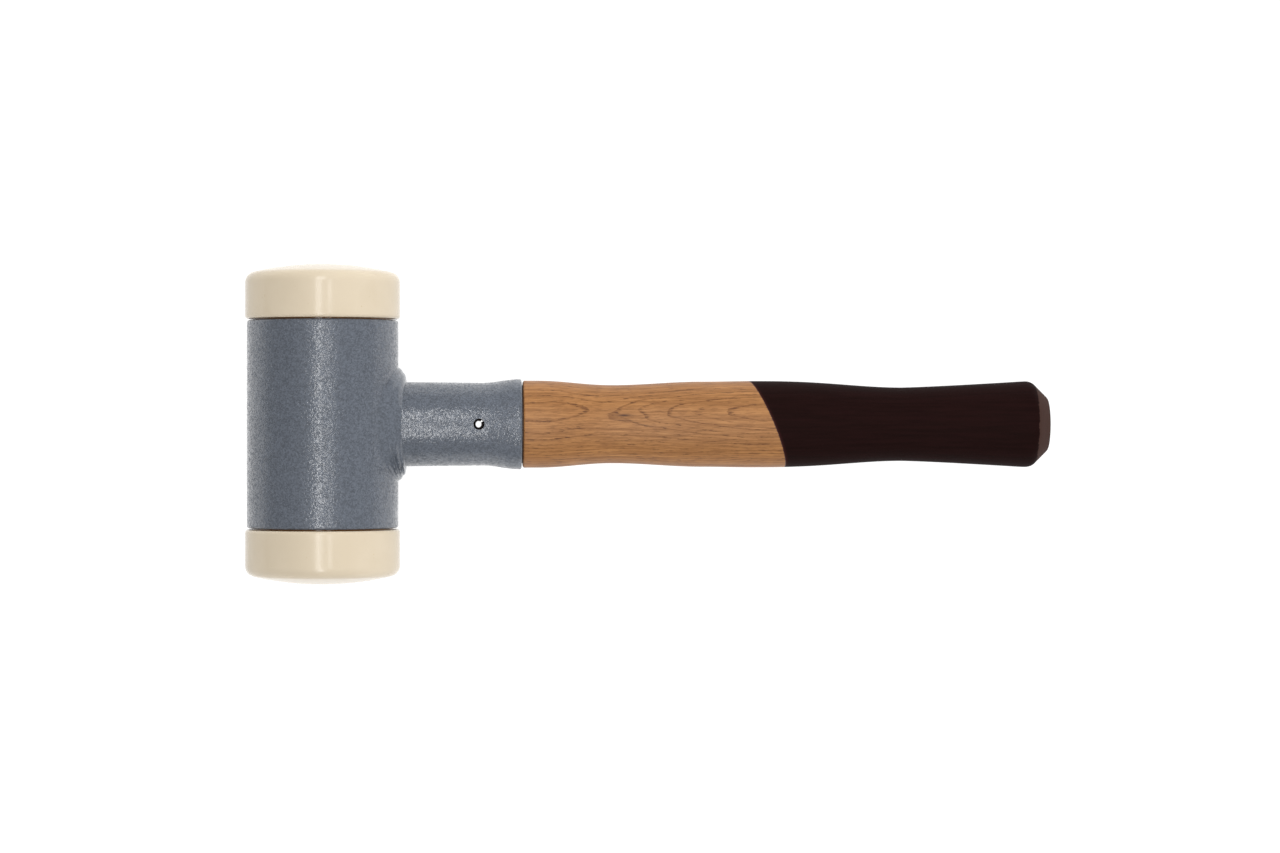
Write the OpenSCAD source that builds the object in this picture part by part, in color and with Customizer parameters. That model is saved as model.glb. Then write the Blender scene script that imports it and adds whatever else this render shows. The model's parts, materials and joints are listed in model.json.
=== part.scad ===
// Recoilless soft-face hammer: a steel head tube with two nylon faces and a loose shot filling,
// welded to a socket that holds an oval wooden handle on a spring pin.
// Hammer axes: the head lies along Y, the handle along X, and they cross at the head's centre.
// The finished part is laid on its side, as it rests on a table: see at_rest().

/* [Head tube] */
// Outer diameter of the head tube, paint included
tube_d = 68.4; // [58:0.2:84]
// Length of the head tube
tube_len = 93.8; // [78:0.2:114]
// Wall of the head tube around the shot chamber
chamber_wall = 5.2; // [4.6:0.1:7]
// Wall of the head tube around the faces' spigots
seat_wall = 4.2; // [3:0.1:4.5]
// Radius of the tube's outer end edges
tube_edge_r = 1; // [0.4:0.1:2]

/* [Striking faces] */
// How far a face stands out past the tube all round
face_overhang = 0.8; // [0:0.1:2]
// Height of a face from the tube's end to its crown
face_h = 25.6; // [21:0.2:34]
// Radius of the domed crown
crown_r = 135; // [110:1:200]
// Radius of the rim between the crown and the side
rim_r = 5; // [2:0.5:7]
// Radius of the edge next to the tube
shoulder_r = 1.6; // [0.5:0.1:2]
// Width of the slit between a face's edge and the tube's end
seam_gap = 0.6; // [0.2:0.1:1]
// How far the slit reaches in from the tube's outside
seam_depth = 2.2; // [1:0.1:2.8]
// Length of the spigot inside the tube
spigot_len = 18; // [14:1:22]
// Ribs that grip the tube's bore
spigot_ribs = 3; // [1:1:4]
// Height of a rib above the spigot
rib_h = 0.4; // [0.2:0.1:0.8]
// Width of a rib at its foot
rib_w = 2; // [1:0.2:3]
// Bevel on the spigot's end
spigot_bevel = 1; // [0.5:0.1:2]

/* [Shot filling] */
// Thickness of the discs that close the chamber
disc_t = 3; // [2:0.5:4]
// Diameter of a ball
shot_d = 9; // [7:0.5:11]
// Length of the chamber that the filling leaves free
shot_travel = 13; // [8:1:20]
// Gap between neighbouring balls
shot_gap = 0.1; // [0.05:0.05:0.3]
// Gap between the balls and what is around them
shot_clearance = 0.3; // [0.2:0.1:1]

/* [Handle socket] */
// Length of the socket from the head tube's side to its mouth
socket_len = 55.8; // [46:0.2:68]
// Outer diameter at the weld
socket_base_d = 38.4; // [34:0.2:45]
// Outer diameter where the oval mouth begins
socket_neck_d = 37.6; // [33:0.2:44]
// Width of the oval mouth, outside
mouth_w = 41; // [37:0.2:48]
// Length over which the tube turns oval
mouth_len = 18; // [12:1:19]
// Wall of the socket
socket_wall = 2.6; // [2:0.1:3.5]
// Radius of the mouth's outer edge
mouth_edge_r = 0.8; // [0.3:0.1:1.2]
// Leg of the weld along the head tube
weld_leg_head = 6.6; // [5:0.5:9]
// How far past the head tube the weld reaches at the sides of the socket
weld_reach_sides = 3.8; // [2:0.2:6]
// How far past the head tube it reaches at the top and bottom of the socket
weld_reach_top = 1.8; // [1:0.2:4]
// How far the weld's face bulges
weld_bulge = 1.5; // [0:0.1:2]

/* [Handle] */
// Length of the handle from its shoulder to its butt
handle_len = 240.3; // [200:0.1:290]
// Thickness of the oval handle as a share of its width
handle_flat = 0.84; // [0.75:0.01:0.95]
// Width at the shoulder
shoulder_w = 39.6; // [36:0.2:44]
// Width at the waist behind the socket
front_waist_w = 35.6; // [30:0.2:40]
// Width at the belly
belly_w = 39.4; // [34:0.2:44]
// Width at the waist of the grip
rear_waist_w = 33.6; // [28:0.2:38]
// Width at the butt, before its corner is rounded
butt_w = 39.8; // [35:0.2:46]
// Length of the butt's bevel at the handle's narrow edges
butt_bevel_len = 8; // [4:0.2:9]
// Length of the butt's bevel on the handle's broad sides
butt_bevel_broad_len = 6.2; // [3:0.2:9]
// Depth of the bevel, from the width at the butt
butt_bevel_depth = 8; // [4:0.2:9]
// How far the rounding of the butt's corner reaches
butt_round = 2.6; // [1:0.2:3]
// Radius of the shoulder's edge
handle_edge_r = 1; // [0.4:0.1:2]
// Gap between the socket's mouth and the shoulder
shoulder_gap = 0.5; // [0.3:0.1:2]
// Gap between the tenon and the socket, all round
tenon_clearance = 0.2; // [0.1:0.05:0.4]
// Gap between the tenon's end and the head tube
tenon_end_gap = 1.6; // [1:0.1:5]

/* [Spring pin] */
// Outer diameter of the pin and of the hole it grips
pin_d = 5; // [4:0.5:6]
// Bore of the pin
pin_bore_d = 3; // [2:0.1:3.4]
// Length of the pin
pin_len = 36; // [30:1:36]
// Width of the pin's slot
pin_slot = 1; // [0.5:0.1:1.2]
// Way the slot faces, turned from the butt towards the first striking face
pin_slot_angle = 45; // [0:5:355]
// Bevel on the pin's ends
pin_bevel = 0.5; // [0.2:0.1:0.8]
// Distance of the pin from the socket's mouth
pin_from_mouth = 19.5; // [19:0.5:25]

/* [Hidden] */

// Facets round a lofted section, steps along a round edge and rings along a blended stretch
section_sides = 64;
arc_steps = 8;
edge_steps = 4;
blend_rings = 9;
grip_rings = 9;
weld_stations = 64;
weld_arc_steps = 6;
$fn = 96;

// Where the handle's width changes, as shares of its length from the shoulder
shoulder_end_at = 0.03;
front_waist_at = 0.168;
belly_start_at = 0.34;
belly_at = 0.44;
rear_waist_at = 0.72;
// Share of the belly's fullness that is reached where it starts
belly_start_share = 0.85;
// How the fall from the belly and the swell to the butt grow: more than 1 is later
belly_fall_power = 1.3;
butt_swell_power = 1.25;

// How deep the weld's section is drawn, and its toes are sunk, before it is cut to the tube and socket
weld_root = 2;
weld_sink = 0.3;

// Sizes that follow from the driving ones
tube_r = tube_d / 2;
face_r = tube_r + face_overhang;
chamber_r = tube_r - chamber_wall;
seat_r = tube_r - seat_wall;
chamber_half = tube_len / 2 - spigot_len - disc_t;
crown_y = tube_len / 2 + face_h;
mouth_x = tube_r + socket_len;
neck_x = mouth_x - mouth_len;
mouth_half_t = handle_flat * (mouth_w / 2 - socket_wall) + socket_wall;
tenon_x = tube_r + tenon_end_gap;
shoulder_x = mouth_x + shoulder_gap;
butt_x = shoulder_x + handle_len;
pin_x = mouth_x - pin_from_mouth;

// A smooth step from 0 to 1
function ease(u) = (1 - cos(180 * min(max(u, 0), 1))) / 2;

// Points of an arc from angle a0 to a1
function arc(centre, r, a0, a1, steps = arc_steps) =
    [for (i = [0:steps]) let (a = a0 + (a1 - a0) * i / steps) centre + r * [cos(a), sin(a)]];

// Turns a shape drawn along Z so that it lies along the head or along the handle
module along_head() rotate([-90, 0, 0]) children();
module along_handle() rotate([0, 90, 0]) children();

// Lays the hammer on the table, with the origin under the middle of its box. The faces' sides and
// the butt's lower edge touch the table; the tilt that does so is found by halving.
broad_outline = handle_outline(butt_bevel_broad_len);
function sag(t) = max([for (p = broad_outline) p[1] * sin(t) + handle_flat * p[0] * cos(t)]) - face_r;
function rest_angle(low, high, halvings) =
    let (middle = (low + high) / 2)
    halvings == 0 ? middle
    : sag(middle) > 0 ? rest_angle(low, middle, halvings - 1)
    : rest_angle(middle, high, halvings - 1);
rest_tilt = rest_angle(0, 20, 24);
reach_x = max([for (p = broad_outline) p[1] * cos(rest_tilt) + handle_flat * p[0] * sin(rest_tilt)]);
head_x = (face_r - reach_x) / 2;
module at_rest() translate([head_x, 0, face_r]) rotate([0, rest_tilt, 0]) children();

// A solid skin over rings of equal point counts; a looped one closes on itself with no ends
module loft(rings, looped = false) {
    n = len(rings[0]);
    m = len(rings);
    last = looped ? m - 1 : m - 2;
    sides = [for (i = [0:last], j = [0:n - 1])
        let (a = i * n, b = ((i + 1) % m) * n, k = (j + 1) % n) [a + j, b + j, b + k, a + k]];
    // A side's four corners need not be coplanar, so each side is split into triangles
    skin = [for (s = sides, half = [0, 1]) half == 0 ? [s[0], s[1], s[2]] : [s[0], s[2], s[3]]];
    caps = looped ? [] : [[for (j = [0:n - 1]) j], [for (j = [n - 1:-1:0]) (m - 1) * n + j]];
    polyhedron(points = [for (ring = rings, p = ring) p], faces = concat(skin, caps));
}

// ---- Head ----

module head_tube() {
    half = tube_len / 2;
    wall = concat(
        [[chamber_r, 0], [tube_r, 0]],
        arc([tube_r - tube_edge_r, half - tube_edge_r], tube_edge_r, 0, 90),
        [[seat_r, half], [seat_r, chamber_half], [chamber_r, chamber_half]]
    );
    color("slategray") along_head() {
        rotate_extrude() polygon(wall);
        mirror([0, 0, 1]) rotate_extrude() polygon(wall);
    }
}

// Half outline of a striking face, from the crown's pole out to the rim and down to the spigot
function crown_drop(r) = crown_r - sqrt(crown_r * crown_r - r * r);
function rim_centre() =
    let (r = face_r - rim_r, reach = crown_r - rim_r)
    [r, crown_y - crown_r + sqrt(reach * reach - r * r)];
function rim_start_angle() = let (c = rim_centre()) atan2(c[1] - (crown_y - crown_r), c[0]);
function spigot_outline(y) =
    let (pitch = spigot_len / (spigot_ribs + 1), low = seat_r - rib_h, crest = rib_w / 4, foot = rib_w / 2)
    concat(
        [[low, y]],
        [for (i = [1:spigot_ribs], p = [[low, foot], [seat_r, crest], [seat_r, -crest], [low, -foot]])
            [p[0], y - pitch * i + p[1]]]
    );

module striking_face() {
    seam_y = tube_len / 2;
    lip_y = seam_y + seam_gap;
    crown = arc([0, crown_y - crown_r], crown_r, 90, rim_start_angle(), 2 * arc_steps);
    end_y = seam_y - spigot_len;
    spigot_r = seat_r - rib_h;
    outline = concat(
        crown,
        arc(rim_centre(), rim_r, rim_start_angle(), 0),
        arc([face_r - shoulder_r, lip_y + shoulder_r], shoulder_r, 0, -90),
        [[tube_r - seam_depth, lip_y], [tube_r - seam_depth, seam_y]],
        spigot_outline(seam_y),
        [[spigot_r, end_y + spigot_bevel], [spigot_r - spigot_bevel, end_y], [0, end_y]]
    );
    color("antiquewhite") along_head() rotate_extrude() polygon(outline);
}

module striking_face_1() striking_face();
module striking_face_2() mirror([0, 1, 0]) striking_face();

// Disc that closes the shot chamber, seated on the step in the tube's bore
module chamber_disc() {
    color("silver") along_head() translate([0, 0, chamber_half]) cylinder(h = disc_t, r = seat_r);
}

module chamber_disc_1() chamber_disc();
module chamber_disc_2() mirror([0, 1, 0]) chamber_disc();

// Balls in close-packed layers across the chamber, in the middle of their travel
module steel_shot() {
    pitch = shot_d + shot_gap;
    layer_pitch = pitch * sqrt(2 / 3);
    room_r = chamber_r - shot_clearance - shot_d / 2;
    bed_len = 2 * (chamber_half - shot_clearance) - shot_travel - shot_d;
    layers = floor(bed_len / layer_pitch);
    rows = ceil(room_r / (pitch * sqrt(3) / 2));
    columns = ceil(room_r / pitch);
    color("dimgray")
        for (k = [0:layers], row = [-rows:rows], column = [-columns:columns]) {
            shift = k % 2;
            x = pitch * (column + (abs(row) % 2) / 2 + shift / 2);
            z = pitch * (row * sqrt(3) / 2 + shift * sqrt(3) / 6);
            if (norm([x, z]) <= room_r)
                translate([x, layer_pitch * (k - layers / 2), z]) sphere(d = shot_d);
        }
}

// ---- Handle socket ----

// Half width and half thickness of the socket's outside at a distance x from the head's axis
function socket_blend(x) = ease((x - neck_x) / (mouth_len - mouth_edge_r));
function socket_round_r(x) =
    (socket_base_d + (socket_neck_d - socket_base_d) * min((x - tube_r) / (neck_x - tube_r), 1)) / 2;
function socket_half_w(x) = let (r = socket_round_r(x)) r + (mouth_w / 2 - r) * socket_blend(x);
function socket_half_t(x) = let (r = socket_round_r(x)) r + (mouth_half_t - r) * socket_blend(x);

// An oval ring across the handle's axis
function oval(x, half_w, half_t, sides = section_sides) =
    [for (i = [0:sides - 1]) let (a = 360 * i / sides) [x, half_w * cos(a), half_t * sin(a)]];
function socket_ring(x, inset) = oval(x, socket_half_w(x) - inset, socket_half_t(x) - inset);

// Where rings are needed: the plain stretch, then the stretch that turns oval
function socket_stations(first_x, last_x) =
    concat([first_x], [for (i = [0:blend_rings]) neck_x + (last_x - neck_x) * i / blend_rings]);

module handle_socket() {
    lip_x = mouth_x - mouth_edge_r;
    outside = [for (x = socket_stations(0, lip_x)) socket_ring(x, 0)];
    lip = [for (i = [1:edge_steps]) let (a = 90 * i / edge_steps)
        socket_ring(lip_x + mouth_edge_r * sin(a), mouth_edge_r * (1 - cos(a)))];
    stations = socket_stations(0, mouth_x);
    inside = [for (i = [len(stations) - 1:-1:0]) socket_ring(stations[i], socket_wall)];
    color("slategray") difference() {
        loft(concat(outside, lip, inside), looped = true);
        along_head() cylinder(h = 2 * mouth_w, r = tube_r, center = true);
        pin_hole();
    }
}

// Weld bead: a convex section that follows the line where the socket meets the head tube. Its toe on
// the head follows the tube's side, and its toe on the socket is nearly flat.
function weld_section(a) =
    let (
        r = socket_base_d / 2,
        y = r * cos(a),
        z = r * sin(a),
        turn = asin(z / tube_r),
        root = [tube_r * cos(turn), y, z],
        // Outward from the socket along the head tube's side: sideways and round the tube
        way = [cos(a), sin(a) / cos(turn)] / norm([cos(a), sin(a) / cos(turn)]),
        toe_turn = turn + weld_leg_head * way[1] / tube_r * 180 / PI,
        toe_r = tube_r - weld_sink,
        head_toe = [toe_r * cos(toe_turn), y + weld_leg_head * way[0], toe_r * sin(toe_turn)],
        reach = weld_reach_top + (weld_reach_sides - weld_reach_top) * pow(cos(a), 2),
        socket_toe = [tube_r + reach, (r - weld_sink) * cos(a), (r - weld_sink) * sin(a)],
        outward = (head_toe - root) / norm(head_toe - root),
        middle = (head_toe + socket_toe) / 2,
        swell = (middle - root) / norm(middle - root) * weld_bulge,
        face = [for (i = [0:weld_arc_steps]) let (u = i / weld_arc_steps)
            head_toe * (1 - u) + socket_toe * u + swell * sin(180 * u)]
    )
    concat(
        [root - [weld_root, 0, 0] - weld_root * outward],
        [head_toe - [weld_root, 0, 0]],
        face,
        [socket_toe - weld_root * outward]
    );

module socket_weld() {
    color("slategray") difference() {
        loft([for (i = [0:weld_stations - 1]) weld_section(-360 * i / weld_stations)], looped = true);
        along_head() cylinder(h = 4 * mouth_w, r = tube_r, center = true);
        along_handle() cylinder(h = neck_x, r1 = socket_round_r(0), r2 = socket_round_r(neck_x));
    }
}

// ---- Handle ----

// Half width of the handle at a share u of its length
function butt_edge_at() = 1 - butt_bevel_len / handle_len;
function between(u, u0, u1, w0, w1, power = 1) =
    (w0 + (w1 - w0) * ease(pow(max(u - u0, 0) / (u1 - u0), power))) / 2;
function swell_to_butt(u) =
    let (share = max(u - rear_waist_at, 0) / (butt_edge_at() - rear_waist_at))
    (rear_waist_w + (butt_w - rear_waist_w) * pow(share, butt_swell_power)) / 2;
function grip_half_w(u) =
    let (full_w = front_waist_w + (belly_w - front_waist_w) * belly_start_share)
    u < front_waist_at ? between(u, shoulder_end_at, front_waist_at, shoulder_w, front_waist_w)
    : u < belly_start_at ? between(u, front_waist_at, belly_start_at, front_waist_w, full_w)
    : u < belly_at ? between(u, belly_start_at, belly_at, full_w, belly_w)
    : u < rear_waist_at ? between(u, belly_at, rear_waist_at, belly_w, rear_waist_w, belly_fall_power)
    : swell_to_butt(u);

// Shares at which the handle gets a ring, from u0 up to u1
function stretch(u0, u1, rings = grip_rings) = [for (i = [0:rings - 1]) u0 + (u1 - u0) * i / rings];

// A rounded corner at p between points a and b
function rounded(a, p, b) =
    [for (i = [0:edge_steps]) let (u = i / edge_steps, v = 1 - u) v * v * a + 2 * u * v * p + u * u * b];

// Half outline of the visible handle as [half width, x] pairs, from the shoulder to the butt, with a
// bevel of the given length at the butt
function handle_outline(bevel_len) =
    let (
        edge_centre = [shoulder_w / 2 - handle_edge_r, shoulder_x + handle_edge_r],
        corner = [grip_half_w(1 - bevel_len / handle_len), butt_x - bevel_len],
        flat_edge = [butt_w / 2 - butt_bevel_depth, butt_x],
        bevel_way = (flat_edge - corner) / norm(flat_edge - corner),
        round_from = 1 - (bevel_len + butt_round) / handle_len,
        round_start = [grip_half_w(round_from), butt_x - bevel_len - butt_round],
        inward = [-1, 0]
    )
    concat(
        arc(edge_centre, handle_edge_r, -90, 0, edge_steps),
        [for (u = concat(
            stretch(shoulder_end_at, front_waist_at),
            stretch(front_waist_at, belly_start_at),
            stretch(belly_start_at, belly_at, 3),
            stretch(belly_at, rear_waist_at, grip_rings + 2),
            stretch(rear_waist_at, round_from)
        )) [grip_half_w(u), shoulder_x + handle_len * u]],
        rounded(round_start, corner, corner + butt_round * bevel_way),
        rounded(flat_edge - handle_edge_r * bevel_way, flat_edge, flat_edge + handle_edge_r * inward)
    );

// A ring of the handle through one point of its outline at the narrow edges and one at the broad
// sides. Where their distances along the handle differ, the ring leads smoothly from one to the other.
function handle_ring(edge, broad) = [for (i = [0:section_sides - 1]) let (a = 360 * i / section_sides)
    [edge[1] + (broad[1] - edge[1]) * pow(sin(a), 2), edge[0] * cos(a), handle_flat * broad[0] * sin(a)]];

module handle() {
    edge_outline = handle_outline(butt_bevel_len);
    inset = socket_wall + tenon_clearance;
    tenon_tip = socket_ring(tenon_x, inset + handle_edge_r);
    tenon = [for (x = socket_stations(tenon_x + handle_edge_r, shoulder_x)) socket_ring(x, inset)];
    grip = [for (i = [0:len(edge_outline) - 1]) handle_ring(edge_outline[i], broad_outline[i])];
    color("burlywood") difference() {
        loft(concat([tenon_tip], tenon, grip));
        pin_hole();
    }
}

// ---- Spring pin ----

module pin_hole() translate([pin_x, 0, 0]) cylinder(h = 2 * mouth_w, d = pin_d, center = true);

module spring_pin() {
    outline = [
        [pin_bore_d / 2, 0],
        [pin_d / 2, 0],
        [pin_d / 2, pin_len / 2 - pin_bevel],
        [pin_d / 2 - pin_bevel, pin_len / 2],
        [pin_bore_d / 2, pin_len / 2]
    ];
    color("dimgray") translate([pin_x, 0, 0]) difference() {
        union() {
            rotate_extrude() polygon(outline);
            mirror([0, 0, 1]) rotate_extrude() polygon(outline);
        }
        rotate([0, 0, pin_slot_angle])
            translate([0, -pin_slot / 2, -pin_len])
                cube([pin_d, pin_slot, 2 * pin_len]);
    }
}

at_rest() head_tube();
at_rest() handle_socket();
at_rest() socket_weld();
at_rest() striking_face_1();
at_rest() striking_face_2();
at_rest() chamber_disc_1();
at_rest() chamber_disc_2();
at_rest() steel_shot();
at_rest() handle();
at_rest() spring_pin();
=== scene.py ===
"""Looks of the recoilless soft-face hammer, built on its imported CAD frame.

Each visible CAD node is replaced by a finer piece of the same size, built in the hammer's own axes:
X along the handle, Y along the head and Z square to both, with the origin at the head's centre.
Sizes are in millimetres until a mesh is made. Sizes that the frame holds are read from it.
"""

import json
import math

import bmesh
import bpy
from mathutils import Matrix, Vector, noise


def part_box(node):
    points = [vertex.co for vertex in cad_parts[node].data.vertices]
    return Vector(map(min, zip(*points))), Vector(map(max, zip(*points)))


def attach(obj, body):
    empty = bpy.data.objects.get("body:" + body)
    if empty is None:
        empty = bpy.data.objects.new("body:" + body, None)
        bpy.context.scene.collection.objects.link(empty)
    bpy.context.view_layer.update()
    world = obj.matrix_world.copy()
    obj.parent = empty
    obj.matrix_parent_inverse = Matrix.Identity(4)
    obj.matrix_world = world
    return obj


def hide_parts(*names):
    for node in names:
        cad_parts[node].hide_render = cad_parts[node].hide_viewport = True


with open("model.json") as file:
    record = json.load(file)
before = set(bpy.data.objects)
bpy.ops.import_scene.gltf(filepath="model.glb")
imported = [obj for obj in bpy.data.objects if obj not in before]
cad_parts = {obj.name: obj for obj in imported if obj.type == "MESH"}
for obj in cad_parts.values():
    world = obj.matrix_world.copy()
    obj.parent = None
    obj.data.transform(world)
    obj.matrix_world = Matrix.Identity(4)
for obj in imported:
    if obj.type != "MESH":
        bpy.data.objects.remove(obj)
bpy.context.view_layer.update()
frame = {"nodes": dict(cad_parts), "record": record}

MM = 0.001

# ---- The hammer's axes and sizes, from the frame ----

mounts = {mount["name"]: mount for mount in frame["record"]["mounts"]}


def middle(node):
    low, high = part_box(node)
    return (Vector(low) + Vector(high)) / 2


def size(node):
    low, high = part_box(node)
    return (Vector(high) - Vector(low)) / MM


HEAD = middle("head_tube")
ALONG = Vector(mounts["butt_end"]["axis"]).normalized()
ACROSS = Vector((0, 1, 0))
SQUARE = ALONG.cross(ACROSS)
HAMMER = Matrix.Translation(HEAD) @ Matrix((ALONG, ACROSS, SQUARE)).transposed().to_4x4()


def along_handle(name):
    """How far a mount lies from the head's centre along the handle."""
    return (Vector(mounts[name]["pos_m"]) - HEAD).dot(ALONG) / MM


TUBE_R = size("head_tube").z / 2
TUBE_HALF = size("head_tube").y / 2
FACE_R = size("striking_face_1").z / 2
CROWN_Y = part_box("striking_face_1")[1][1] / MM
BUTT_X = along_handle("butt_end")
PIN_X = along_handle("pin_bore")
PIN_BORE_R = mounts["pin_bore"]["dims"]["r_mm"]
PIN_LEN = mounts["pin_bore"]["dims"]["length_mm"]

# ---- Sizes that the frame doesn't state, as the CAD has them ----

CHAMBER_R = TUBE_R - 5.2
SEAT_R = TUBE_R - 4.2
TUBE_EDGE_R = 1
SPIGOT_LEN = 18
DISC_T = 3
CROWN_R = 135
RIM_R = 5
SHOULDER_R = 1.6
SEAM_GAP = 0.6
SEAM_DEPTH = 2.2
SPIGOT_CLEAR = 0.4
SPIGOT_BEVEL = 1

SOCKET_BASE_R = 19.2
SOCKET_NECK_R = 18.8
SOCKET_WALL = 2.6
MOUTH_X = PIN_X + 19.5
MOUTH_HALF_W = 20.5
MOUTH_LEN = 18
MOUTH_EDGE_R = 0.8
NECK_X = MOUTH_X - MOUTH_LEN
OVAL = 0.84
MOUTH_HALF_T = OVAL * (MOUTH_HALF_W - SOCKET_WALL) + SOCKET_WALL
# Where the socket's first plain ring lies, just off the tube
LEVEL_X = TUBE_R + 0.5

WELD_LEG_HEAD = 6.6
WELD_REACH_SIDES = 3.8
WELD_REACH_TOP = 1.8
WELD_BULGE = 1.5
WELD_SINK = 0.3

TENON_X = TUBE_R + 1.6
TENON_BEVEL = 1
TENON_CLEAR = 0.2
SHOULDER_X = MOUTH_X + 0.5
HANDLE_LEN = BUTT_X - SHOULDER_X
SHOULDER_W = 39.6
FRONT_WAIST_W = 35.6
BELLY_W = 39.4
FULL_W = FRONT_WAIST_W + 0.85 * (BELLY_W - FRONT_WAIST_W)
REAR_WAIST_W = 33.6
BUTT_W = 39.8
# Shares of the handle's length, and its width there
GRIP_STOPS = [
    (0.03, SHOULDER_W),
    (0.168, FRONT_WAIST_W),
    (0.34, FULL_W),
    (0.44, BELLY_W),
    (0.72, REAR_WAIST_W),
]
BELLY_FALL = 1.3
BUTT_SWELL = 1.25
BEVEL_LEN = 8
BEVEL_BROAD_LEN = 6.2
BEVEL_DEPTH = 8
BUTT_ROUND = 2.6
FLAT_ROUND = 1
HANDLE_EDGE_R = 1

PIN_R = 2.5
PIN_SLOT = 1
PIN_SLOT_ANGLE = 45
PIN_BEVEL = 0.5

# The edge of the dipped grip is a plane: x at the axis, and its lean with y and z
DIP_X = 201.3
DIP_LEAN_Y = -0.412
DIP_LEAN_Z = 0.144
# How far past that plane the wood still shows before the dip covers it wholly
DIP_BLEED = 0.35

# ---- Detail that only the looks have ----

# Relief of the weld bead off its plain bulge, in mm. Places across it are shares of its width.
VALLEY_DEPTH, VALLEY_AT, VALLEY_WIDTH = 0.26, 0.48, 0.12
CREST_RISE, CREST_AT, CREST_WIDTH = 0.22, 0.72, 0.16
# How far the valley strays and how high the waves are, and how fast each changes round the socket
VALLEY_STRAY, STRAY_PACE = 0.05, 2.2
WAVE_RISE, WAVE_PACE = 0.16, 6
# The angle round the socket at which the bead's passes end, in ridges round a pit
WELD_END, WELD_END_WIDTH = 2.5, 0.36
RIDGE_RISE, RIDGE_COUNT, RIDGE_TWIST = 1.0, 12, 3
PIT_DEPTH, PIT_TURN, PIT_TURN_WIDTH, PIT_AT, PIT_WIDTH = 1.3, 0.25, 0.12, 0.62, 0.10
# Shares of the relief and of the bulge that are ground away on the uppermost side
GROUND_RELIEF, GROUND_BULGE = 0.7, 0.45
# Powers of a sine that make the bulge full and let the relief fade at both toes
BULGE_POWER, RELIEF_POWER = 0.8, 0.5
# How far the toe at the tube strays, and over what distance
TOE_STRAY, TOE_GRAIN = 0.3, 8
# How much lower the plain bulge is than the CAD's, which leaves room for the relief
BULGE_TRIM = 0.1
# How deep the bead's hidden back lies in the walls, and under its toe at the tube
ROOT_DEPTH, TOE_DEPTH = 2, 1.5

# Sanding marks: shares of the handle's size all over it, and near the butt
SANDED, SANDED_GRAIN = 0.004, (40, 16, 16)
BUTT_SANDED, BUTT_SANDED_GRAIN, BUTT_SANDED_SHIFT = 0.012, (5, 3, 3), 9
BUTT_SANDED_LEN, BUTT_SANDED_FADE = 14, 6
# Length of handle beside the socket's mouth that is left true
TRUE_LEN = 2

# ---- Mesh code ----

AROUND = 192
HOLE_SIDES = 64
WELD_STEPS = 30
WELD_STATIONS = 420
# Angles in degrees over which an edge shows as sharp, on plain pieces and on drilled ones
SHARP = 50
SHARP_DRILLED = 35


def ease(u):
    """A smooth step from 0 to 1."""
    return (1 - math.cos(math.pi * min(max(u, 0), 1))) / 2


def spread(start, stop, steps):
    return [start + (stop - start) * i / steps for i in range(steps + 1)]


def circle(sides=AROUND):
    """Angles round a circle."""
    return [2 * math.pi * i / sides for i in range(sides)]


def hump(distance, width):
    """Falls from 1 at no distance to 1/e at a width."""
    return math.exp(-((distance / width) ** 2))


def arc(centre, r, start, stop, steps):
    """Points of an arc between two angles in degrees."""
    turns = [math.radians(a) for a in spread(start, stop, steps)]
    return [(centre[0] + r * math.cos(a), centre[1] + r * math.sin(a)) for a in turns]


def revolve(profile):
    """Rings round the head's axis from points of radius and height. A radius of 0 gives a pole."""
    rings = []
    for r, y in profile:
        turns = circle() if r else [0]
        rings.append([Vector((r * math.cos(a), y, r * math.sin(a))) for a in turns])
    return rings


def oval(x, half_w, half_t):
    """A ring across the handle."""
    return [Vector((x, half_w * math.cos(a), half_t * math.sin(a))) for a in circle()]


def skin(name, rings, looped=False):
    """A closed mesh over rings. A ring of one point is a pole, and other open ends get a flat cap."""
    verts = [p * MM for ring in rings for p in ring]
    starts = [sum(len(r) for r in rings[:i]) for i in range(len(rings))]
    faces = []
    for i in range(len(rings) if looped else len(rings) - 1):
        k = (i + 1) % len(rings)
        a, b, n = starts[i], starts[k], max(len(rings[i]), len(rings[k]))
        for j in range(n):
            m = (j + 1) % n
            near = [a] if len(rings[i]) == 1 else [a + j, a + m]
            far = [b] if len(rings[k]) == 1 else [b + m, b + j]
            faces.append(near + far)
    if not looped:
        for i in (0, len(rings) - 1):
            if len(rings[i]) > 1:
                faces.append([starts[i] + j for j in range(len(rings[i]))])
    mesh = bpy.data.meshes.new(name)
    mesh.from_pydata(verts, [], faces)
    piece = bpy.data.objects.new(name, mesh)
    bpy.context.scene.collection.objects.link(piece)
    piece.matrix_world = HAMMER
    tidy(mesh)
    return piece


def tidy(mesh, sharp=SHARP):
    """Turns all faces outward and shades the mesh smooth, except over sharp edges."""
    made = bmesh.new()
    made.from_mesh(mesh)
    bmesh.ops.remove_doubles(made, verts=made.verts, dist=1e-7)
    bmesh.ops.recalc_face_normals(made, faces=made.faces)
    made.to_mesh(mesh)
    made.free()
    mesh.shade_smooth()
    mesh.set_sharp_from_angle(angle=math.radians(sharp))


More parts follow.
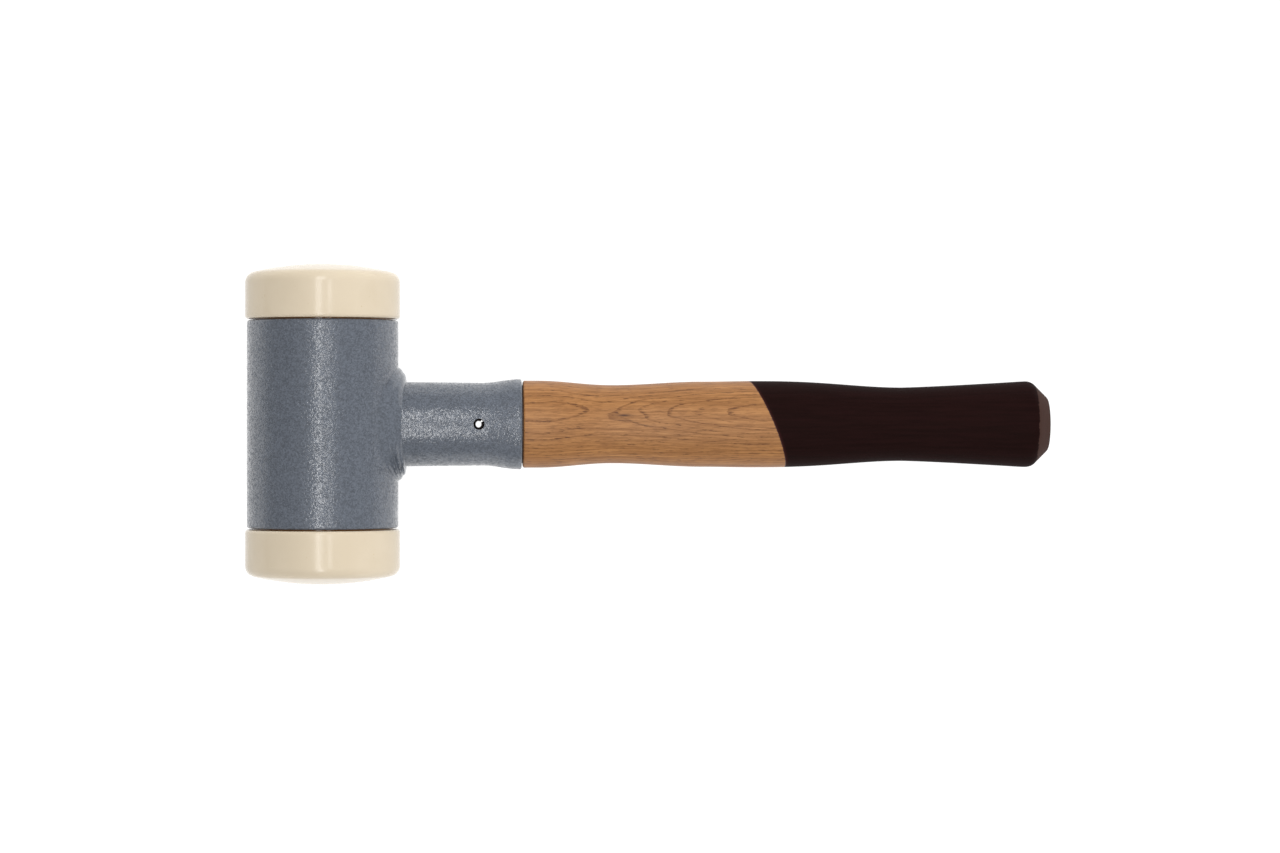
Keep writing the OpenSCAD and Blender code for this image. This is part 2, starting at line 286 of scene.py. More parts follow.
def drill(piece, x, r):
    """Cuts the spring pin's hole through a piece."""
    reach = 2 * MOUTH_HALF_W
    hole = [(x + r * math.cos(a), r * math.sin(a)) for a in circle(HOLE_SIDES)]
    cutter = skin("cutter", [[Vector((*p, z)) for p in hole] for z in (-reach, reach)])
    cut = piece.modifiers.new("hole", "BOOLEAN")
    cut.operation = "DIFFERENCE"
    cut.solver = "EXACT"
    cut.object = cutter
    bpy.context.view_layer.update()
    depsgraph = bpy.context.evaluated_depsgraph_get()
    done = bpy.data.meshes.new_from_object(piece.evaluated_get(depsgraph))
    piece.modifiers.clear()
    old = piece.data
    piece.data = done
    bpy.data.meshes.remove(old)
    bpy.data.objects.remove(cutter)
    tidy(done, SHARP_DRILLED)


# ---- Head ----


def head_tube():
    edge_y = TUBE_HALF - TUBE_EDGE_R
    step_y = TUBE_HALF - SPIGOT_LEN - DISC_T
    edge = arc((TUBE_R - TUBE_EDGE_R, edge_y), TUBE_EDGE_R, 0, 90, 10)
    side = [(TUBE_R, y) for y in spread(-edge_y, edge_y, 48)[1:-1]]
    end = edge + [(SEAT_R, TUBE_HALF), (SEAT_R, step_y), (CHAMBER_R, step_y)]
    other_end = [(r, -y) for r, y in reversed(end)]
    return skin("head_shell", revolve(other_end + side + end), looped=True)


def striking_face(name, way):
    """A face with its spigot in the tube, at the end that way says: 1 or -1."""
    rim_r = FACE_R - RIM_R
    reach = CROWN_R - RIM_R
    crown_centre = CROWN_Y - CROWN_R
    rim_y = crown_centre + math.sqrt(reach ** 2 - rim_r ** 2)
    start = math.degrees(math.atan2(rim_y - crown_centre, rim_r))
    lip_y = TUBE_HALF + SEAM_GAP
    end_y = TUBE_HALF - SPIGOT_LEN
    spigot_r = SEAT_R - SPIGOT_CLEAR
    neck_r = TUBE_R - SEAM_DEPTH
    profile = (
        [(0, CROWN_Y)]
        + arc((0, crown_centre), CROWN_R, 90, start, 28)[1:]
        + arc((rim_r, rim_y), RIM_R, start, 0, 14)[1:]
        + [(FACE_R, y) for y in spread(rim_y, lip_y + SHOULDER_R, 10)[1:-1]]
        + arc((FACE_R - SHOULDER_R, lip_y + SHOULDER_R), SHOULDER_R, 0, -90, 8)
        + [(neck_r, lip_y), (neck_r, TUBE_HALF), (spigot_r, TUBE_HALF)]
        + [(spigot_r, end_y + SPIGOT_BEVEL), (spigot_r - SPIGOT_BEVEL, end_y), (0, end_y)]
    )
    return skin(name, revolve([(r, way * y) for r, y in profile]))


# ---- Socket and weld ----


def socket_halves(x):
    """Half width and half thickness of the socket's outside."""
    r = SOCKET_BASE_R + (SOCKET_NECK_R - SOCKET_BASE_R) * min((x - TUBE_R) / (NECK_X - TUBE_R), 1)
    turned = ease((x - NECK_X) / (MOUTH_LEN - MOUTH_EDGE_R))
    return r + (MOUTH_HALF_W - r) * turned, r + (MOUTH_HALF_T - r) * turned


def socket_ring(x, inset):
    half_w, half_t = socket_halves(x)
    return oval(x, half_w - inset, half_t - inset)


def on_tube(ring):
    """Moves a ring of points along the handle onto the head tube's side."""
    return [Vector((math.sqrt(TUBE_R ** 2 - p.z ** 2), p.y, p.z)) for p in ring]


def handle_socket():
    lip_x = MOUTH_X - MOUTH_EDGE_R
    rings = [on_tube(socket_ring(TUBE_R, 0)), socket_ring(LEVEL_X, 0)]
    rings += [socket_ring(x, 0) for x in spread(LEVEL_X + 1, lip_x, 60)]
    for a in map(math.radians, spread(0, 90, 8)[1:]):
        inset = MOUTH_EDGE_R * (1 - math.cos(a))
        rings.append(socket_ring(lip_x + MOUTH_EDGE_R * math.sin(a), inset))
    rings += [socket_ring(x, SOCKET_WALL) for x in spread(MOUTH_X, LEVEL_X, 40)]
    rings.append(on_tube(socket_ring(TUBE_R, SOCKET_WALL)))
    piece = skin("socket", rings, looped=True)
    drill(piece, PIN_X, PIN_R)
    return piece


def weld_relief(a, u):
    """How far the painted bead stands off its plain bulge: two passes, with a rough end."""
    slow = noise.noise(Vector((math.cos(a) * STRAY_PACE, math.sin(a) * STRAY_PACE, 3)))
    fast = noise.noise(Vector((math.cos(a) * WAVE_PACE, math.sin(a) * WAVE_PACE, u * 2)))
    crown = math.sin(math.pi * u)
    valley = -VALLEY_DEPTH * hump(u - VALLEY_AT - VALLEY_STRAY * slow, VALLEY_WIDTH)
    crest = CREST_RISE * hump(u - CREST_AT, CREST_WIDTH)
    past = a - WELD_END
    folds = 1 - 2 * abs(math.sin(RIDGE_COUNT * u + RIDGE_TWIST * past))
    ridges = RIDGE_RISE * hump(past, WELD_END_WIDTH) * crown * folds
    pit = -PIT_DEPTH * hump(past - PIT_TURN, PIT_TURN_WIDTH) * hump(u - PIT_AT, PIT_WIDTH)
    # The side that lies uppermost is ground nearly smooth
    left = 1 - GROUND_RELIEF * max(math.sin(a), 0) ** 6
    return (valley + crest + WAVE_RISE * crown * fast) * left + ridges + pit


def weld_section(a):
    """The bead's section at an angle round the socket."""
    y, z = SOCKET_BASE_R * math.cos(a), SOCKET_BASE_R * math.sin(a)
    turn = math.asin(z / TUBE_R)
    root = Vector((TUBE_R * math.cos(turn), y, z))
    way = Vector((math.cos(a), math.sin(a) / math.cos(turn))).normalized()
    stray = TOE_STRAY * noise.noise(Vector((y / TOE_GRAIN, z / TOE_GRAIN, 0)))
    toe_turn = turn + (WELD_LEG_HEAD + stray) * way[1] / TUBE_R
    leg_head = (toe_turn - turn) * TUBE_R / way[1] if abs(way[1]) > 0.01 else WELD_LEG_HEAD
    toe_r = TUBE_R - WELD_SINK
    toe_y = y + leg_head * way[0]
    head_toe = Vector((toe_r * math.cos(toe_turn), toe_y, toe_r * math.sin(toe_turn)))
    out = Vector((0, math.cos(a), math.sin(a)))
    reach = WELD_REACH_TOP + (WELD_REACH_SIDES - WELD_REACH_TOP) * math.cos(a) ** 2
    socket_toe = Vector((TUBE_R + reach, 0, 0)) + (SOCKET_BASE_R - WELD_SINK) * out
    swell = ((head_toe + socket_toe) / 2 - root).normalized()
    bulge = (WELD_BULGE - BULGE_TRIM) * (1 - GROUND_BULGE * max(math.sin(a), 0) ** 4)
    section = [root - Vector((ROOT_DEPTH, 0, 0)) - ROOT_DEPTH * out]
    section.append(head_toe - Vector((TOE_DEPTH, 0, 0)))
    for u in spread(0, 1, WELD_STEPS):
        crown = math.sin(math.pi * u)
        rise = bulge * crown ** BULGE_POWER + weld_relief(a, u) * crown ** RELIEF_POWER
        section.append(head_toe.lerp(socket_toe, u) + swell * rise)
    section.append(socket_toe - ROOT_DEPTH * out)
    return section


def socket_weld():
    return skin("weld_bead", [weld_section(a) for a in circle(WELD_STATIONS)], looped=True)


# ---- Handle ----


def grip_half_w(u):
    """Half width of the handle at a share u of its length."""
    if u <= GRIP_STOPS[0][0]:
        return SHOULDER_W / 2
    for (u0, w0), (u1, w1) in zip(GRIP_STOPS, GRIP_STOPS[1:]):
        if u <= u1:
            power = BELLY_FALL if w0 == BELLY_W else 1
            return (w0 + (w1 - w0) * ease(((u - u0) / (u1 - u0)) ** power)) / 2
    last = GRIP_STOPS[-1][0]
    share = (u - last) / (1 - BEVEL_LEN / HANDLE_LEN - last)
    return (REAR_WAIST_W + (BUTT_W - REAR_WAIST_W) * share ** BUTT_SWELL) / 2


def rounded(a, p, b, steps):
    """Points of a corner at p, rounded between points a and b."""
    curve = []
    for u in spread(0, 1, steps):
        v = 1 - u
        curve.append(tuple(v * v * a[i] + 2 * u * v * p[i] + u * u * b[i] for i in (0, 1)))
    return curve


def handle_profile(bevel_len):
    """Half width and x of the handle from its shoulder to its butt, for a bevel of a given length."""
    edge_centre = (SHOULDER_W / 2 - HANDLE_EDGE_R, SHOULDER_X + HANDLE_EDGE_R)
    edge = arc(edge_centre, HANDLE_EDGE_R, -90, 0, 8)
    corner = Vector((grip_half_w(1 - bevel_len / HANDLE_LEN), BUTT_X - bevel_len))
    flat_edge = Vector((BUTT_W / 2 - BEVEL_DEPTH, BUTT_X))
    bevel = (flat_edge - corner).normalized()
    first = HANDLE_EDGE_R / HANDLE_LEN
    last = 1 - (bevel_len + BUTT_ROUND) / HANDLE_LEN
    grip = [(grip_half_w(u), SHOULDER_X + HANDLE_LEN * u) for u in spread(first, last, 180)[1:-1]]
    start = (grip_half_w(last), BUTT_X - bevel_len - BUTT_ROUND)
    bend = rounded(start, corner, corner + BUTT_ROUND * bevel, 10)
    slope_end = (flat_edge - corner).length - FLAT_ROUND
    slope = [tuple(corner + bevel * s) for s in spread(BUTT_ROUND, slope_end, 10)[1:-1]]
    flat_start = flat_edge[0] - FLAT_ROUND
    end = rounded(flat_edge - FLAT_ROUND * bevel, flat_edge, (flat_start, BUTT_X), 6)
    flat = [(r, BUTT_X) for r in spread(flat_start, FLAT_ROUND, 8)[1:]]
    return edge + grip + bend + slope + end + flat


def handle_ring(edge, broad):
    """A ring through a point of the profile at the narrow edges and one at the broad sides."""
    ring = []
    for a in circle():
        x = edge[1] + (broad[1] - edge[1]) * math.sin(a) ** 2
        ring.append(Vector((x, edge[0] * math.cos(a), OVAL * broad[0] * math.sin(a))))
    return ring


def dip_side(p):
    """How far a point lies past the plane at which the dipped grip begins."""
    return p[0] - DIP_X - DIP_LEAN_Y * p[1] - DIP_LEAN_Z * p[2]


def unevenness(p, grain, shift=0):
    """Noise from 0 to 1 at a point, of a grain size in mm along each axis."""
    place = Vector([p[i] / grain[i] for i in range(3)]) + Vector((shift, 0, 0))
    return 0.5 + 0.5 * noise.noise(place)


def sand(ring, x):
    """Takes a little unevenly off a ring of the handle that lies at x."""
    near_butt = ease((x - BUTT_X + BUTT_SANDED_LEN) / BUTT_SANDED_FADE)
    for p in ring:
        slow = unevenness(p, SANDED_GRAIN)
        fast = unevenness(p, BUTT_SANDED_GRAIN, BUTT_SANDED_SHIFT)
        keep = 1 - (SANDED * slow + BUTT_SANDED * near_butt * fast)
        p.y, p.z = p.y * keep, p.z * keep


def handle():
    inset = SOCKET_WALL + TENON_CLEAR
    tenon_edge = TENON_X + TENON_BEVEL
    rings = [[Vector((TENON_X, 0, 0))], socket_ring(TENON_X, inset + TENON_BEVEL)]
    rings += [socket_ring(x, inset) for x in spread(tenon_edge, SHOULDER_X, 60)]
    for edge, broad in zip(handle_profile(BEVEL_LEN), handle_profile(BEVEL_BROAD_LEN)):
        ring = handle_ring(edge, broad)
        if edge[1] > SHOULDER_X + TRUE_LEN:
            sand(ring, edge[1])
        rings.append(ring)
    rings.append([Vector((BUTT_X, 0, 0))])
    piece = skin("handle_wood", rings)
    drill(piece, PIN_X, PIN_R)
    split_at_dip(piece.data)
    return piece


def split_at_dip(mesh):
    """Cuts the mesh's faces along the dip's plane, and gives the far ones the second material."""
    made = bmesh.new()
    made.from_mesh(mesh)
    everything = list(made.verts) + list(made.edges) + list(made.faces)
    way = Vector((1, -DIP_LEAN_Y, -DIP_LEAN_Z)).normalized()
    place = Vector(((DIP_X + DIP_BLEED) * MM, 0, 0))
    bmesh.ops.bisect_plane(made, geom=everything, dist=1e-8, plane_co=place, plane_no=way)
    for face in made.faces:
        face.material_index = int(dip_side(face.calc_center_median() / MM) > DIP_BLEED)
    made.to_mesh(mesh)
    made.free()
    tidy(mesh, SHARP_DRILLED)


# ---- Spring pin ----


def spring_pin():
    half, inner, outer = PIN_LEN / 2, PIN_BORE_R, PIN_R
    section = [(inner, -half), (outer - PIN_BEVEL, -half), (outer, PIN_BEVEL - half)]
    section += [(outer, half - PIN_BEVEL), (outer - PIN_BEVEL, half), (inner, half)]
    middle_r = (inner + outer) / 2
    half_slot = math.degrees(PIN_SLOT / 2 / middle_r)
    sweep = spread(PIN_SLOT_ANGLE + half_slot, PIN_SLOT_ANGLE + 360 - half_slot, 72)
    rings = []
    for a in map(math.radians, sweep):
        rings.append([Vector((PIN_X + r * math.cos(a), r * math.sin(a), z)) for r, z in section])
    return skin("roll_pin", rings)


# ---- Materials ----

PAINT_GREY = (0.079, 0.090, 0.110, 1)
NYLON_TONES = (0.538, 0.459, 0.344, 1), (0.552, 0.473, 0.358, 1)
NYLON_SPECK = (0.42, 0.30, 0.18, 1)
# Painted shade: a warm dark brown that stands in for the shadow in the slit between a face and the
# tube
SEAM_SHADE = (0.19, 0.095, 0.035, 1)
# How far up a face's side the painted shade in its seam fades out, in mm
SEAM_FADE = 0.25

WOOD_LIGHT = (0.385, 0.180, 0.060, 1)
WOOD_DARK = (0.135, 0.049, 0.013, 1)
WOOD_PORE = (0.085, 0.030, 0.009, 1)
WOOD_KNOT = (0.030, 0.010, 0.008, 1)
# Painted shade: a dark brown for the wood at the socket's mouth, where the gap shades it
MOUTH_SHADE = (0.040, 0.018, 0.010, 1)
WOOD_AT_DIP = (0.030, 0.009, 0.008, 1)
# The growth rings' pitch and their tilt across the handle, and how far they wander, in mm
RING_PITCH = 1.35
RING_TILT = 0.25
RING_WANDER = 6.0
RING_JITTER = 0.7
# The boss that they swell over: its centre, its half lengths and its rise
BOSS_PLACE, BOSS_HALF, BOSS_RISE = (208.0, 4.0), (52, 12.5), 5.2
# A small knot's streak: its centre and half lengths
KNOT_PLACE, KNOT_HALF = (136.0, 4.0), (3.0, 0.5)
# How far along the handle that painted shade reaches from the mouth, in mm
MOUTH_SHADE_LEN = 0.35
WOOD_RELIEF = 0.03

DIP_TONES = (0.0060, 0.0012, 0.0012, 1), (0.0100, 0.0026, 0.0026, 1)
DIP_RIM = (0.040, 0.010, 0.009, 1)
DIP_RIM_LEN = 1.8
# How far the fibres draw the dip's edge out, in mm
DIP_BLUR = 0.7
# How much of the wood shows through the dip
DIP_CLEAR = 0.004
WORN = (0.075, 0.042, 0.034, 1)
# Worn shares of the bevel and of the flat end
WORN_BEVEL, WORN_FLAT = 0.55, 0.15
# How far from the butt the bevel's wear starts and is full, and the flat end's, in mm
BEVEL_WORN = 6.4, 6.0
FLAT_WORN = 0.6, 0.2
CHIP_LEN = 1.6

STEEL_BLACK = (0.020, 0.016, 0.015, 1)
STEEL_BARE = (0.52, 0.53, 0.54, 1)
STEEL_SHOT = (0.36, 0.36, 0.37, 1)
STAIN = 0.72
SCRATCH_DEPTH = 0.01

TABLE_TONES = 0.30, 0.32
TABLE_GLOW = 0.86


class Shader:
    """A node material with short ways to add nodes. Its textures lie in the hammer's axes, in mm."""

    def __init__(self, name, **sockets):
        self.material = bpy.data.materials.new(name)
        self.material.use_nodes = True
        self.tree = self.material.node_tree
        self.surface = self.tree.nodes["Principled BSDF"]
        self.set(self.surface, sockets)
        place = self.tree.nodes.new("ShaderNodeTexCoord").outputs["Object"]
        from_head = self.vector("SUBTRACT", {0: place, 1: tuple(HEAD)}).outputs["Vector"]
        self.x, self.y, self.z = [
            self.vector("DOT_PRODUCT", {0: from_head, 1: tuple(axis / MM)}).outputs["Value"]
            for axis in (ALONG, ACROSS, SQUARE)
        ]
        self.mm = self.node("ShaderNodeCombineXYZ", {0: self.x, 1: self.y, 2: self.z}).outputs[0]

    def set(self, node, sockets):
        for name, value in sockets.items():
            socket = node.inputs[name.replace("_", " ") if isinstance(name, str) else name]
            if isinstance(value, bpy.types.NodeSocket):
                self.tree.links.new(value, socket)
            else:
                socket.default_value = value

    def node(self, kind, sockets, **settings):
        made = self.tree.nodes.new(kind)
        for name, value in settings.items():
            setattr(made, name, value)
        self.set(made, sockets)
        return made

    def vector(self, operation, sockets):
        return self.node("ShaderNodeVectorMath", sockets, operation=operation)

    def math(self, operation, a, b=0.0):
        return self.node("ShaderNodeMath", {0: a, 1: b}, operation=operation).outputs[0]

    def sum(self, *terms):
        total = terms[0]
        for term in terms[1:]:
            total = self.math("ADD", total, term)
        return total

    def times(self, a, b):
        return self.math("MULTIPLY", a, b)

    def step(self, value, low, high, out_low=0.0, out_high=1.0):
        """A smooth step from out_low to out_high as the value goes from low to high."""
        sockets = {"Value": value, "From Min": low, "From Max": high}
        sockets.update({"To Min": out_low, "To Max": out_high})
        return self.node("ShaderNodeMapRange", sockets, interpolation_type="SMOOTHSTEP").outputs[0]

    def hump(self, centre, half):
        """Falls from 1 at a centre in x and y to 1/e at its half lengths."""
        x = self.times(self.sum(self.x, -centre[0]), 1 / half[0])
        y = self.times(self.sum(self.y, -centre[1]), 1 / half[1])
        square = self.sum(self.times(x, x), self.times(y, y))
        return self.math("EXPONENT", self.times(square, -1.0))

    def noise(self, grain, stretch=(1, 1, 1), detail=2.0, rough=0.5, twist=0.0, shift=0.0):
        """Noise of a grain size in mm, longer along an axis by its stretch."""
        scale = tuple(1 / (grain * s) for s in stretch)
        sockets = {"Vector": self.mm, "Scale": scale, "Location": (shift,) * 3}
        where = self.node("ShaderNodeMapping", sockets).outputs[0]
        sockets = {"Vector": where, "Scale": 1.0, "Detail": detail, "Roughness": rough}
        return self.node("ShaderNodeTexNoise", {**sockets, "Distortion": twist}).outputs[0]

    def flakes(self, grain):
        """Cells of a grain size in mm, each of one random value."""
        cells = self.node("ShaderNodeTexVoronoi", {"Vector": self.mm, "Scale": 1 / grain})
        return self.node("ShaderNodeSeparateColor", {0: cells.outputs["Color"]}).outputs[0]

    def mix(self, share, a, b, blend="MIX"):
        """Mixes two colours. The sockets of a mix node share names, so they go by number."""
        sockets = {0: share, 6: a, 7: b}
        return self.node("ShaderNodeMix", sockets, data_type="RGBA", blend_type=blend).outputs[2]

    def bump(self, height, depth):
        """A normal for a height, whose full range is a depth in mm."""
        sockets = {"Height": height, "Distance": depth * MM, "Strength": 1.0}
        return self.node("ShaderNodeBump", sockets).outputs[0]

    def finish(self, **sockets):
        self.set(self.surface, sockets)
        return self.material


def grey(value):
    return (value, value, value, 1)


def paint(name, depth, dullest):
    """Hammered enamel under a clear gloss: worm-like wrinkles of a depth in mm, flakes and mottling.

    Its gloss is broken into spots, down to a dullest share between them.
    """
    s = Shader(name, Roughness=0.5, Specular_IOR_Level=0.3, Coat_Roughness=0.04)
    mottle = s.step(s.noise(3.2, detail=3), 0.3, 0.7, 0.95, 1.05)
    flake = s.step(s.flakes(0.6), 0.0, 1.0, -0.2, 0.22)
    wrinkle = s.noise(1.3, detail=1, twist=1.2)
    spots = s.noise(1.1, detail=1, twist=1.5, shift=5)
    shade = s.sum(mottle, flake, s.step(wrinkle, 0.35, 0.65, -0.05, 0.07))
    grain = s.node("ShaderNodeCombineColor", {0: shade, 1: shade, 2: shade}).outputs[0]
    colour = s.mix(1.0, PAINT_GREY, grain, "MULTIPLY")
    normal = s.bump(wrinkle, depth)
    gloss = s.step(spots, 0.42, 0.52, dullest, 1.0)
    return s.finish(Base_Color=colour, Coat_Weight=gloss, Normal=normal, Coat_Normal=normal)


def nylon(name):
    """Ivory nylon: waxy and faintly clouded, with a few specks, and painted shade in the slit at the
    tube.
    """
    s = Shader(name, Specular_IOR_Level=0.25)
    tone = s.mix(s.step(s.noise(14), 0.35, 0.65), *NYLON_TONES)
    speck = s.noise(1.1, detail=1, shift=4)
    tone = s.mix(s.step(speck, 0.74, 0.8, 0.0, 0.5), tone, NYLON_SPECK)
    lip = TUBE_HALF + SEAM_GAP
    # Painted shade: the face's neck in the slit, and a hair up its side, take the seam's dark brown
    seam_shade = s.step(s.math("ABSOLUTE", s.y), lip, lip + SEAM_FADE, 1.0, 0.0)
    tone = s.mix(seam_shade, tone, SEAM_SHADE)
    scuff = s.noise(2.4, stretch=(1, 2, 1), detail=3, rough=0.6)
    return s.finish(Base_Color=tone, Roughness=s.step(scuff, 0.3, 0.75, 0.14, 0.2))


def wood_grain(s):
    """Hickory as a plain-sawn billet shows it: its colour, relief, streaks and fibres."""
    # Growth rings lie nearly flat, and swell over a boss under the belly that shows as nested arcs
    wander = s.noise(26, stretch=(3.2, 1, 1), twist=0.3)
    jitter = s.noise(2.6, stretch=(5, 1, 1), detail=3)
    height = s.sum(s.z, s.times(s.hump(BOSS_PLACE, BOSS_HALF), BOSS_RISE), s.times(s.y, RING_TILT))
    height = s.sum(height, s.times(wander, RING_WANDER), s.times(jitter, RING_JITTER))
    ring = s.times(height, 1 / RING_PITCH)
    phase = s.math("FRACT", ring)
    which = s.math("FLOOR", ring)
    odd = s.node("ShaderNodeTexWhiteNoise", {"W": which}, noise_dimensions="1D").outputs[0]
    line = s.times(s.step(phase, 0.0, 0.04), s.step(phase, 0.05, 0.32, 1.0, 0.0))
    line = s.times(line, s.step(odd, 0.0, 1.0, 0.35, 1.0))
    fibre = s.noise(0.55, stretch=(24, 1, 1), detail=3, rough=0.6)
    streak = s.noise(1.5, stretch=(26, 1, 1), detail=3, rough=0.6, shift=7)
    pore = s.noise(0.6, stretch=(7, 1, 1), rough=0.6, shift=3)
    # Pores crowd along the rings' lines
    pores = s.times(s.step(pore, 0.53, 0.60), s.step(line, 0.0, 0.5, 0.3, 1.0))
    wood = s.mix(s.step(streak, 0.25, 0.75, 0.0, 0.5), WOOD_LIGHT, WOOD_DARK)
    wood = s.mix(s.times(line, 0.6), wood, WOOD_DARK)
    wood = s.mix(s.step(fibre, 0.35, 0.7, 0.0, 0.45), wood, WOOD_DARK)
    wood = s.mix(s.times(pores, 0.85), wood, WOOD_PORE)
    # The knot shows on the side that lies uppermost
    knot = s.times(s.hump(KNOT_PLACE, KNOT_HALF), s.step(s.z, 2.0, 6.0, 0.0, 0.9))
    wood = s.mix(knot, wood, WOOD_KNOT)
    # Painted shade where the handle meets the socket's mouth, dark as the gap's shadow
    mouth_shade = s.step(s.x, SHOULDER_X, SHOULDER_X + MOUTH_SHADE_LEN, 0.9, 0.0)
    wood = s.mix(mouth_shade, wood, MOUTH_SHADE)
    relief = s.sum(s.times(fibre, 0.5), s.times(pores, -1.0), s.times(line, -0.35))
    return wood, relief, streak, fibre


def past_dip(s, fibre):
    """How far past the dip's edge a point is, in mm, a little blurred along the fibres."""
    past = s.sum(s.x, -DIP_X, s.times(s.y, -DIP_LEAN_Y), s.times(s.z, -DIP_LEAN_Z))
    return s.sum(past, s.times(fibre, DIP_BLUR), -DIP_BLUR / 2)


def hickory(name):
    """Lacquered hickory with cathedral grain, up to the dip's edge."""
    s = Shader(name, Specular_IOR_Level=0.3)
    wood, relief, streak, fibre = wood_grain(s)
    colour = s.mix(s.step(past_dip(s, fibre), -0.1, 0.15), wood, WOOD_AT_DIP)
    rough = s.step(streak, 0.2, 0.8, 0.42, 0.52)
    return s.finish(Base_Color=colour, Roughness=rough, Normal=s.bump(relief, WOOD_RELIEF))


def dipped_wood(name):
    """The grip's dark brown dip: thin, dull, with the grain showing faintly through."""
    s = Shader(name, Specular_IOR_Level=0.06)
    wood, relief, streak, fibre = wood_grain(s)
    tone = s.mix(DIP_CLEAR, s.mix(s.step(streak, 0.3, 0.7), *DIP_TONES), wood)
    rim = s.times(s.step(past_dip(s, fibre), 0.0, DIP_RIM_LEN, 1.0, 0.0), 0.6)
    tone = s.mix(rim, tone, DIP_RIM)
    # The bevel is sanded: paler, and chipped along its edge
    chip = s.noise(1.3, detail=3)
    chipped = s.sum(s.x, s.times(chip, CHIP_LEN), -CHIP_LEN / 2)
    worn = s.step(chipped, *(BUTT_X - back for back in BEVEL_WORN))
    share = s.step(s.x, *(BUTT_X - back for back in FLAT_WORN), WORN_BEVEL, WORN_FLAT)
    tone = s.mix(s.times(worn, share), tone, WORN)
    rough = s.step(streak, 0.2, 0.8, 0.66, 0.76)
    return s.finish(Base_Color=tone, Roughness=rough, Normal=s.bump(relief, WOOD_RELIEF))


def steel(name, base, low, high):
    """Bare or blackened steel with fine scratches, from a low roughness to a high one."""
    s = Shader(name, Metallic=1.0)
    scratch = s.noise(0.3, stretch=(1, 1, 6), detail=3)
    stain = s.noise(5, detail=3, shift=2)
    dull = tuple(c * STAIN for c in base[:3]) + (1,)
    colour = s.mix(s.step(stain, 0.35, 0.7), base, dull)
    rough = s.step(scratch, 0.3, 0.7, low, high)
    return s.finish(Base_Color=colour, Roughness=rough, Normal=s.bump(scratch, SCRATCH_DEPTH))


def table_top(name):
    """A plain white light table, bright enough by itself that it shows almost no shadow."""
    s = Shader(name, Roughness=0.9, Specular_IOR_Level=0.0, Emission_Strength=TABLE_GLOW)
    tone = s.mix(s.step(s.noise(400), 0.3, 0.7), *map(grey, TABLE_TONES))
    return s.finish(Base_Color=tone, Emission_Color=grey(1.0))


# ---- Assembly ----


def dress(piece, materials, node):
    """Gives a piece its materials and hides the CAD node that it stands in for. Its mesh moves into
    the frame's own axes.
    """
    for material in materials:
        piece.data.materials.append(material)
    piece.data.transform(HAMMER)
    piece.matrix_world = Matrix()
    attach(piece, "hammer")
    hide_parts(node)


def redress(node, material):
    """Gives a carried-over CAD node its material."""
    slots = frame["nodes"][node].data.materials
    slots.clear()
    slots.append(material)


ivory = nylon("nylon_ivory")
enamel = paint("enamel_grey", depth=0.15, dullest=0.12)
weld_enamel = paint("enamel_weld", depth=0.03, dullest=0.8)
woods = [hickory("hickory"), dipped_wood("hickory_dipped")]
black = steel("steel_black", STEEL_BLACK, low=0.4, high=0.6)
bare = steel("steel_bare", STEEL_BARE, low=0.25, high=0.45)
shot = steel("steel_shot_grey", STEEL_SHOT, low=0.3, high=0.5)
dress(head_tube(), [enamel], "head_tube")
dress(striking_face("nylon_face_1", 1), [ivory], "striking_face_1")
dress(striking_face("nylon_face_2", -1), [ivory], "striking_face_2")
dress(handle_socket(), [enamel], "handle_socket")
dress(socket_weld(), [weld_enamel], "socket_weld")
dress(handle(), woods, "handle")
dress(spring_pin(), [black], "spring_pin")
redress("chamber_disc_1", bare)
redress("chamber_disc_2", bare)
redress("steel_shot", shot)

# ---- Table, lights and camera ----

TABLE_HALF = 6.0
# The camera looks straight down. Its height is over the head's axis, and its place is in x and y.
CAMERA_HEIGHT = 1.61
CAMERA_PLACE = (-0.0042, -0.00105)
LENS = 100
SENSOR = 36
SKY = 0.30
# Panels that far over the table, round the camera's opening: edges in x and y, and radiance
PANELS = [
    ((-0.288, -0.051), (-1.28, 1.26), 8.0),
    ((0.208, 0.36), (-0.3, 0.3), 6.0),
    ((-0.051, 0.075), (-1.28, -0.19), 8.0),
    ((-0.051, 0.075), (0.34, 1.26), 8.0),
]
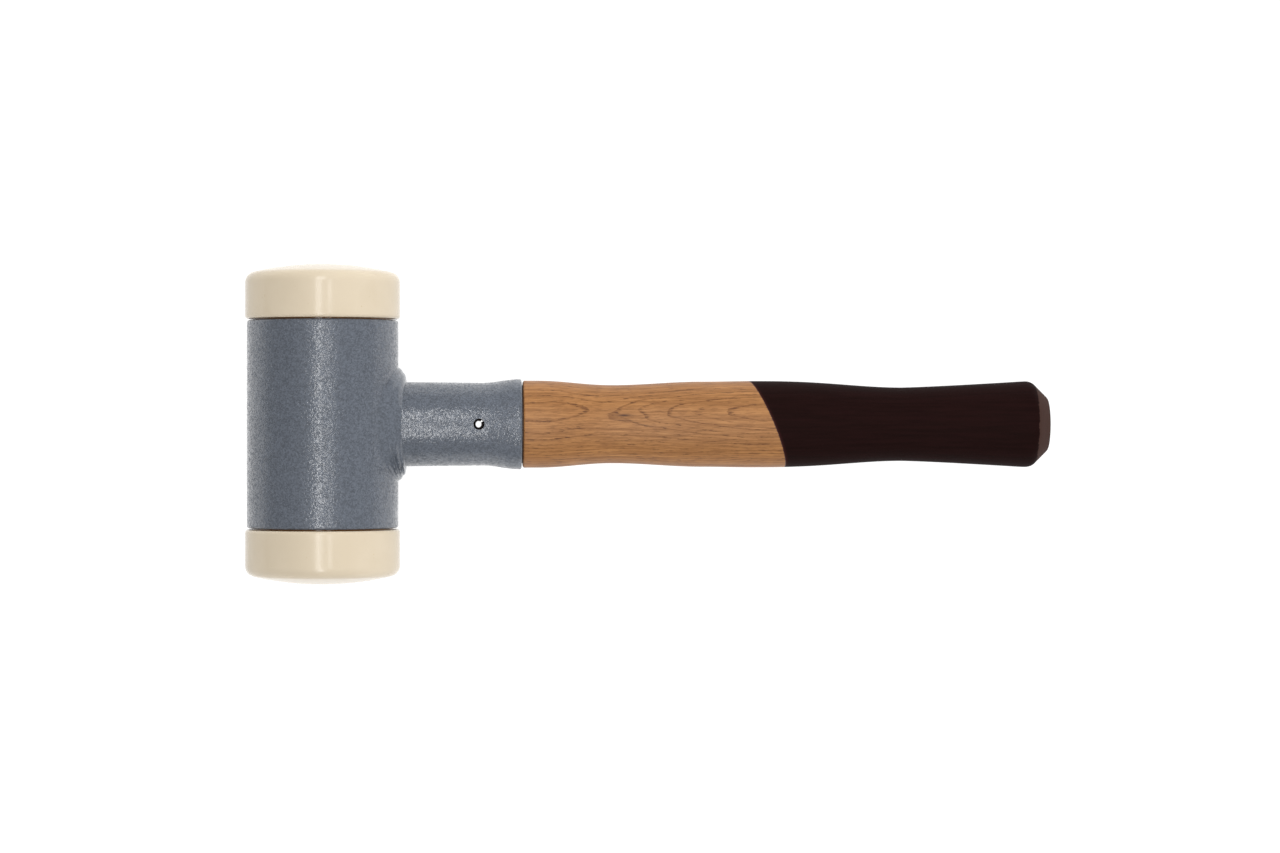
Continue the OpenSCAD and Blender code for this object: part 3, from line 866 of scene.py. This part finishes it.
# Soft walls low round the table: where each stands, its width and height, and its radiance
WALLS = {
    "wall_right": ((1.9, 0.3, 0.8), 2.6, 1.2, 2.3),
    "wall_back": ((0.0, 2.1, 0.8), 3.6, 1.2, 2.5),
    "wall_front": ((0.2, -2.1, 0.8), 3.2, 1.2, 1.3),
}


def table():
    quarters = (-1, -1), (1, -1), (1, 1), (-1, 1)
    corners = [(x * TABLE_HALF, y * TABLE_HALF, 0) for x, y in quarters]
    mesh = bpy.data.meshes.new("table_top")
    mesh.from_pydata(corners, [], [(0, 1, 2, 3)])
    top = bpy.data.objects.new("table_top", mesh)
    bpy.context.scene.collection.objects.link(top)
    mesh.materials.append(table_top("table_white"))


def panel(name, place, wide, deep, radiance):
    """A soft light that faces down, as bright as its radiance all over."""
    light = bpy.data.lights.new(name, "AREA")
    light.shape = "RECTANGLE"
    light.size, light.size_y = wide, deep
    light.energy = radiance * math.pi * wide * deep
    lamp = bpy.data.objects.new(name, light)
    lamp.location = place
    lamp.visible_camera = False
    bpy.context.scene.collection.objects.link(lamp)
    return lamp


def lights():
    """A frame of panels overhead with the camera in its opening, and soft walls round the table."""
    for i, ((left, right), (low, high), radiance) in enumerate(PANELS):
        place = ((left + right) / 2, (low + high) / 2, CAMERA_HEIGHT)
        panel(f"panel_{i}", place, right - left, high - low, radiance)
    for name, (place, wide, deep, radiance) in WALLS.items():
        wall = panel(name, place, wide, deep, radiance)
        wall.rotation_euler = (-Vector(place)).to_track_quat("-Z", "Y").to_euler()
        wall.visible_glossy = False
    world = bpy.data.worlds.new("studio")
    world.use_nodes = True
    sky = world.node_tree.nodes["Background"]
    sky.inputs["Color"].default_value = grey(1.0)
    sky.inputs["Strength"].default_value = SKY
    bpy.context.scene.world = world


def camera():
    data = bpy.data.cameras.new("camera")
    data.lens, data.sensor_width = LENS, SENSOR
    eye = bpy.data.objects.new("camera", data)
    eye.location = (*CAMERA_PLACE, HEAD.z + CAMERA_HEIGHT)
    bpy.context.scene.collection.objects.link(eye)
    bpy.context.scene.camera = eye


table()
lights()
camera()
bpy.context.scene.view_settings.view_transform = "Standard"
